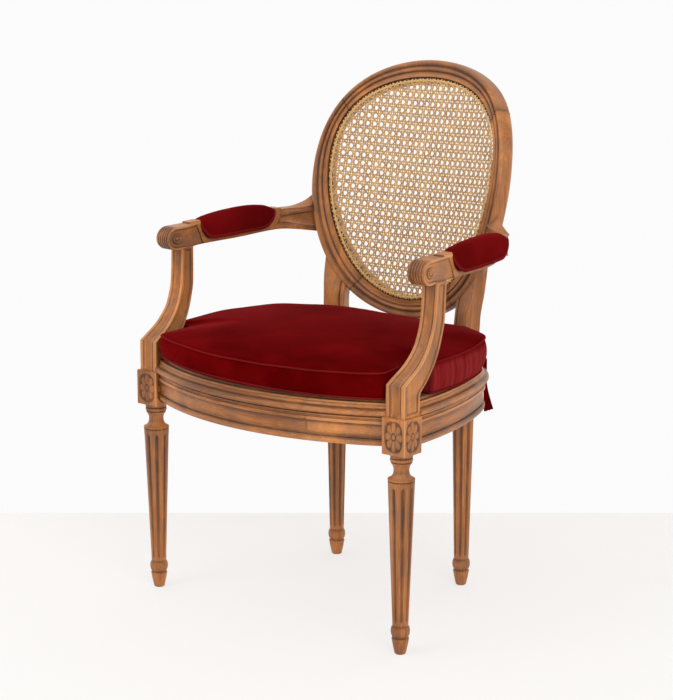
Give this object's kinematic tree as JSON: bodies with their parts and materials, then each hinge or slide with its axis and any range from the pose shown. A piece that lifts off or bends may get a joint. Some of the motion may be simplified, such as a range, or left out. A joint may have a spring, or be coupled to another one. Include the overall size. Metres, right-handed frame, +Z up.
{
  "type": "louis xvi armchair",
  "caption": "Neoclassical wooden armchair with a concave oval cane back, padded arms, turned fluted legs, moulded rails and a loose velvet box cushion on a caned seat.",
  "frame": {"origin": "on the floor, under the middle of the chair's overall box", "axes": "+Z up, -Y the way the sitter faces, +X to the right as seen from the front"},
  "size_m": [0.5848, 0.5607, 0.9193],
  "materials": {
    "frame_wood": "waxed warm brown beech with darker glaze in the grooves",
    "dowel_wood": "plain",
    "velvet": "deep red cotton velvet",
    "cane": "golden woven rattan cane",
    "cane_binding": "golden rattan strip"
  },
  "bodies": {
    "root": {"front_leg_left": "frame_wood", "front_leg_right": "frame_wood", "rear_upright_left": "frame_wood", "rear_upright_right": "frame_wood", "crest_rail": "frame_wood", "lower_back_rail": "frame_wood", "front_rail": "frame_wood", "side_rail_left": "frame_wood", "side_rail_right": "frame_wood", "back_rail": "frame_wood", "arm_post_left": "frame_wood", "arm_post_right": "frame_wood", "arm_left": "frame_wood", "arm_right": "frame_wood", "tenon_pegs": "dowel_wood", "back_dowels": "dowel_wood", "arm_dowels": "dowel_wood", "arm_pad_left": "velvet", "arm_pad_right": "velvet", "seat_cushion": "velvet", "cushion_tie_left": "velvet", "cushion_tie_right": "velvet", "back_cane": "cane", "seat_cane": "cane", "back_cane_binding": "cane_binding", "seat_cane_binding": "cane_binding"}
  },
  "joints": []
}
